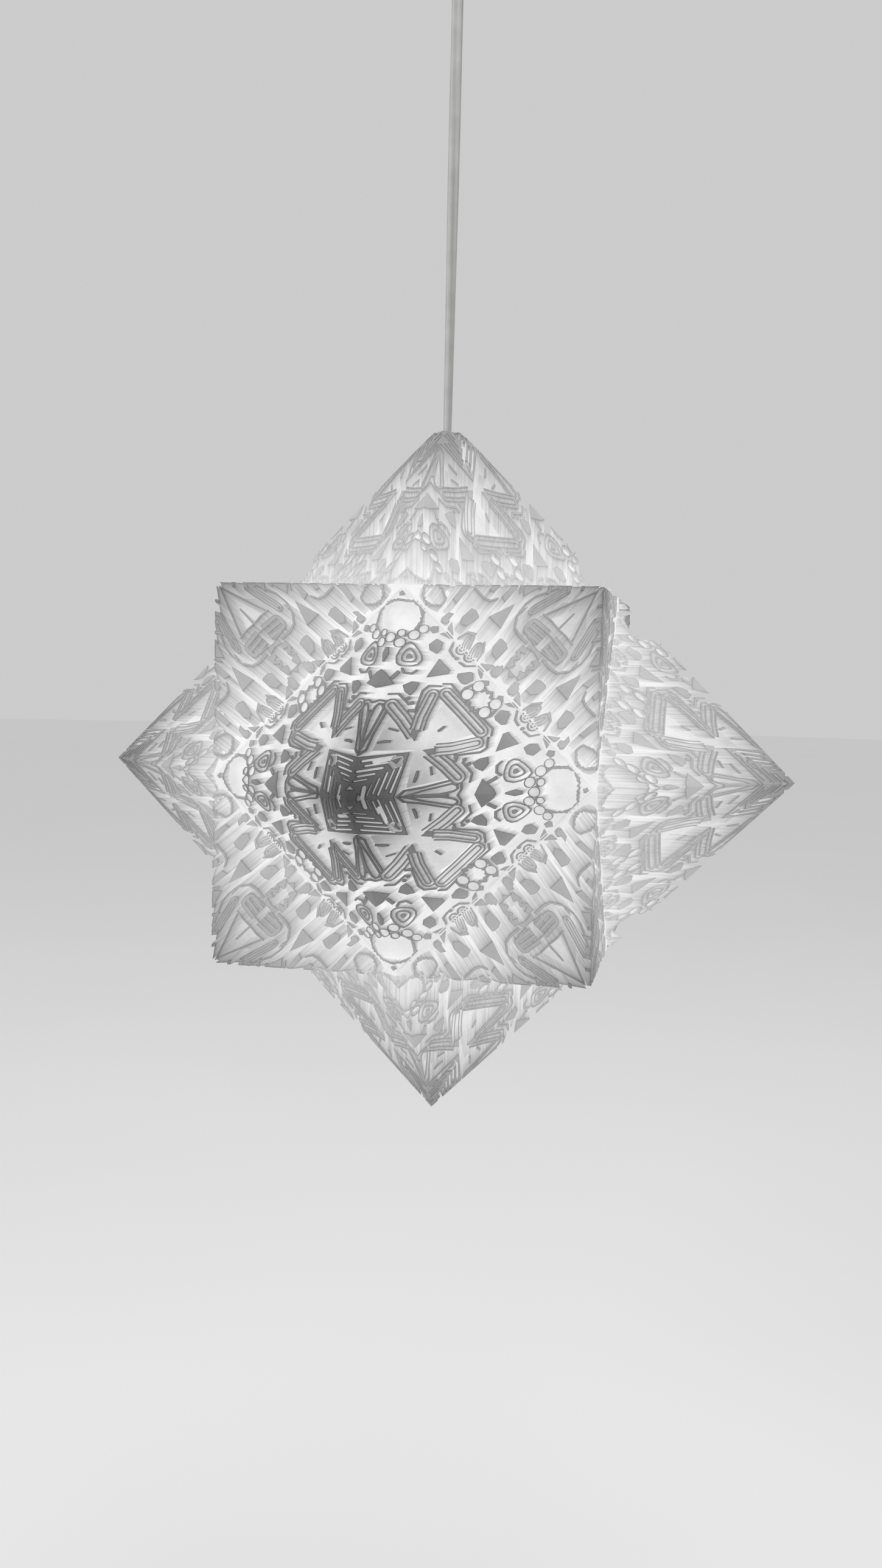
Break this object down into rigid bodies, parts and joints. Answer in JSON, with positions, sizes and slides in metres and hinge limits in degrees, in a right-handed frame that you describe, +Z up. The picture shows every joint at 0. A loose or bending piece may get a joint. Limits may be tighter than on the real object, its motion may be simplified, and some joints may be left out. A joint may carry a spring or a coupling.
{
  "type": "paper star lantern",
  "caption": "Hanging paper star lantern with square-based and corner points in deep snowflake relief, on a flat cord with a lampholder, bulb and ceiling cup.",
  "frame": {"origin": "on the ceiling, at the middle of the bracket's upper face, from which the lantern hangs", "axes": "+Z up; the front point looks along -Y and the right point along +X; the cord hangs down -Z"},
  "size_m": [0.3976, 0.3976, 0.6868],
  "materials": {
    "star_paper": "satin, lit from inside",
    "spider_steel": "white powder coat",
    "ceramic_white": "unglazed white",
    "contact_brass": "plain",
    "lamp_screw_shell": "bright",
    "lamp_base_white": "satin",
    "opal_globe": "opal",
    "cord_grey": "soft satin",
    "bracket_steel": "zinc plated",
    "screw_steel": "zinc plated",
    "canopy_white": "satin",
    "cord_fitting_white": "satin",
    "terminal_white": "satin",
    "holder_white": "satin moulded white"
  },
  "bodies": {
    "ceiling_fitting": {"bracket": "bracket_steel", "canopy": "canopy_white", "canopy_screws": "screw_steel", "cord_bush": "cord_fitting_white", "bush_nut": "cord_fitting_white", "clamp_front": "cord_fitting_white", "clamp_back": "cord_fitting_white", "clamp_screws": "screw_steel", "cord_tail": "cord_grey", "terminal_block": "terminal_white", "terminal_screws": "contact_brass"},
    "cord": {"cord": "cord_grey"},
    "star": {"bottom_point": "star_paper", "front_point": "star_paper", "back_point": "star_paper", "left_point": "star_paper", "right_point": "star_paper", "corner_lower_front_left": "star_paper", "corner_lower_front_right": "star_paper", "corner_lower_back_left": "star_paper", "corner_lower_back_right": "star_paper", "corner_upper_front_left": "star_paper", "corner_upper_front_right": "star_paper", "corner_upper_back_left": "star_paper", "corner_upper_back_right": "star_paper", "spider": "spider_steel", "holder_body": "holder_white", "shade_ring": "holder_white", "contact_insert": "ceramic_white", "centre_contact": "contact_brass", "holder_cap": "holder_white", "cord_nipple": "cord_fitting_white", "grip_screw": "cord_fitting_white", "bulb_screw": "lamp_screw_shell", "bulb_base": "lamp_base_white", "bulb_globe": "opal_globe"},
    "top_point": {"top_point": "star_paper"}
  },
  "joints": [
    {"name": "cord_swing", "type": "hinge", "parent": "ceiling_fitting", "child": "cord", "pos_m": [0, 0, -0.027], "axis": [0, 1, 0], "range_deg": [-15, 15]},
    {"name": "star_turn", "type": "hinge", "parent": "cord", "child": "star", "pos_m": [0, 0, -0.342], "axis": [0, 0, 1], "range_deg": [-180, 180]},
    {"name": "top_point_lift", "type": "slide", "parent": "star", "child": "top_point", "axis": [0, 0, 1], "range_m": [0, 0.16]}
  ]
}
